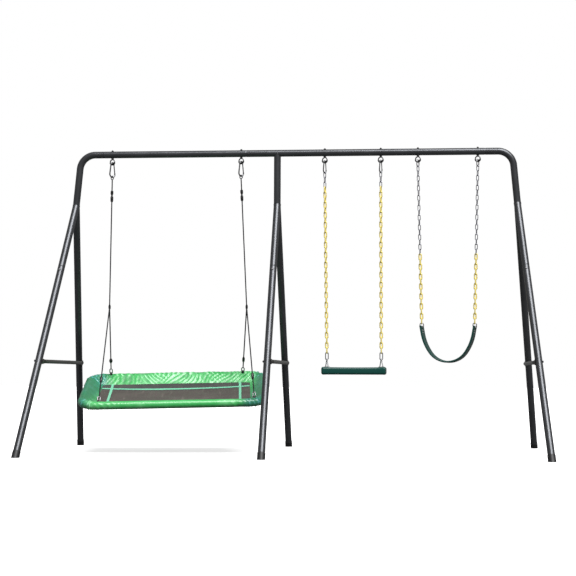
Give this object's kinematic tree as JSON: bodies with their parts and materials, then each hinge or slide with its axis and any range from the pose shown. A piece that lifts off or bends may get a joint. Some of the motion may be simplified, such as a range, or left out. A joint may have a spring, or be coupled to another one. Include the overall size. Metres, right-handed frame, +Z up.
{
  "type": "swing set",
  "caption": "Steel A-frame swing set with a rectangular rope-hung platform swing, a flat bench swing and a belt swing on chains.",
  "frame": {"origin": "on the ground, midway between the end frames and below the top rail", "axes": "+X along the top rail towards the belt swing, +Y from the front legs to the rear legs, +Z up"},
  "size_m": [3.6658, 1.862, 2.2399],
  "materials": {
    "frame_coat": "semi-gloss dark grey powder coat",
    "brace_coat": "satin grey coat",
    "cap_plastic": "moulded, matt",
    "bolt_steel": "zinc plated",
    "eye_steel": "zinc plated",
    "bushing_plastic": "matt",
    "cap_nut": "gloss black",
    "hook_steel": "dark zinc plated",
    "link_steel": "zinc plated",
    "rope": "braided",
    "adjuster_plastic": "matt",
    "rim_steel": "grey coat",
    "rim_foam": "foam",
    "rim_vinyl": "glossy vinyl",
    "mat_fabric": "tight woven mesh",
    "webbing": "woven webbing",
    "chain": "plastisol coated lower part, plated upper part",
    "seat_plastic": "moulded",
    "belt_rubber": "moulded, low sheen",
    "grommet": "plated"
  },
  "bodies": {
    "frame": {"elbow_left": "frame_coat", "elbow_right": "frame_coat", "top_rail_left": "frame_coat", "top_rail_right": "frame_coat", "centre_stub": "frame_coat", "upper_leg_left_front": "frame_coat", "upper_leg_left_rear": "frame_coat", "upper_leg_centre_front": "frame_coat", "upper_leg_centre_rear": "frame_coat", "upper_leg_right_front": "frame_coat", "upper_leg_right_rear": "frame_coat", "lower_leg_left_front": "frame_coat", "lower_leg_left_rear": "frame_coat", "lower_leg_centre_front": "frame_coat", "lower_leg_centre_rear": "frame_coat", "lower_leg_right_front": "frame_coat", "lower_leg_right_rear": "frame_coat", "brace_left": "brace_coat", "brace_centre": "brace_coat", "brace_right": "brace_coat", "leg_end_caps": "cap_plastic", "frame_bolts": "bolt_steel", "lock_nuts": "bolt_steel", "eye_bolts": "eye_steel", "wear_bushings": "bushing_plastic", "eye_spacers": "bushing_plastic", "eye_nuts": "cap_nut"},
    "platform_swing": {"platform_carabiners": "hook_steel", "rope_thimbles": "link_steel", "hanger_rope_left": "rope", "hanger_rope_right": "rope", "rope_adjusters": "adjuster_plastic", "fork_knots": "rope", "front_rope_left": "rope", "rear_rope_left": "rope", "front_rope_right": "rope", "rear_rope_right": "rope", "rim_links": "link_steel", "rim_tube_left": "rim_steel", "rim_tube_right": "rim_steel", "rim_foam": "rim_foam", "rim_cover": "rim_vinyl", "jump_mat": "mat_fabric", "webbing_straps": "webbing"},
    "platform_left_gate": {"platform_gate_left": "hook_steel"},
    "platform_right_gate": {"platform_gate_right": "hook_steel"},
    "bench_hanger": {"bench_carabiners": "hook_steel", "bench_chain_left": "chain", "bench_chain_right": "chain", "bench_links": "link_steel"},
    "bench_left_gate": {"bench_gate_left": "hook_steel"},
    "bench_right_gate": {"bench_gate_right": "hook_steel"},
    "bench": {"bench_bails": "link_steel", "bench_seat": "seat_plastic"},
    "belt_hanger": {"belt_quick_links": "link_steel", "belt_chain_left": "chain", "belt_chain_right": "chain"},
    "belt": {"belt_rings": "link_steel", "belt_seat": "belt_rubber", "belt_grommets": "grommet"}
  },
  "joints": [
    {"name": "platform_swing", "type": "hinge", "parent": "frame", "child": "platform_swing", "pos_m": [-0.88, 0, 2.1326], "axis": [1, 0, 0], "range_deg": [-40, 40]},
    {"name": "bench_swing", "type": "hinge", "parent": "frame", "child": "bench_hanger", "pos_m": [0.433, 0, 2.1326], "axis": [1, 0, 0], "range_deg": [-50, 50]},
    {"name": "bench_seat_tilt", "type": "hinge", "parent": "bench_hanger", "child": "bench", "pos_m": [0.445, 0, 0.67842], "axis": [1, 0, 0], "range_deg": [-25, 25]},
    {"name": "belt_swing", "type": "hinge", "parent": "frame", "child": "belt_hanger", "pos_m": [1.131, 0, 2.1326], "axis": [1, 0, 0], "range_deg": [-50, 50]},
    {"name": "belt_seat_tilt", "type": "hinge", "parent": "belt_hanger", "child": "belt", "pos_m": [1.131, 0, 0.94835], "axis": [1, 0, 0], "range_deg": [-30, 30]},
    {"name": "platform_left_gate", "type": "hinge", "parent": "platform_swing", "child": "platform_left_gate", "pos_m": [-1.3518, 0.01957, 2.07284], "axis": [0.829, -0.5592, 0], "range_deg": [0, 20], "stiffness_Nm_per_rad": 0.02, "springref_deg": -20.05},
    {"name": "platform_right_gate", "type": "hinge", "parent": "platform_swing", "child": "platform_right_gate", "pos_m": [-0.3818, 0.01957, 2.07284], "axis": [0.829, -0.5592, 0], "range_deg": [0, 20], "stiffness_Nm_per_rad": 0.02, "springref_deg": -20.05},
    {"name": "bench_left_gate", "type": "hinge", "parent": "bench_hanger", "child": "bench_left_gate", "pos_m": [0.23434, 0.01761, 2.08596], "axis": [0.9135, -0.4067, 0], "range_deg": [0, 20], "stiffness_Nm_per_rad": 0.02, "springref_deg": -20.05},
    {"name": "bench_right_gate", "type": "hinge", "parent": "bench_hanger", "child": "bench_right_gate", "pos_m": [0.64734, 0.01761, 2.08596], "axis": [0.9135, -0.4067, 0], "range_deg": [0, 20], "stiffness_Nm_per_rad": 0.02, "springref_deg": -20.05}
  ]
}
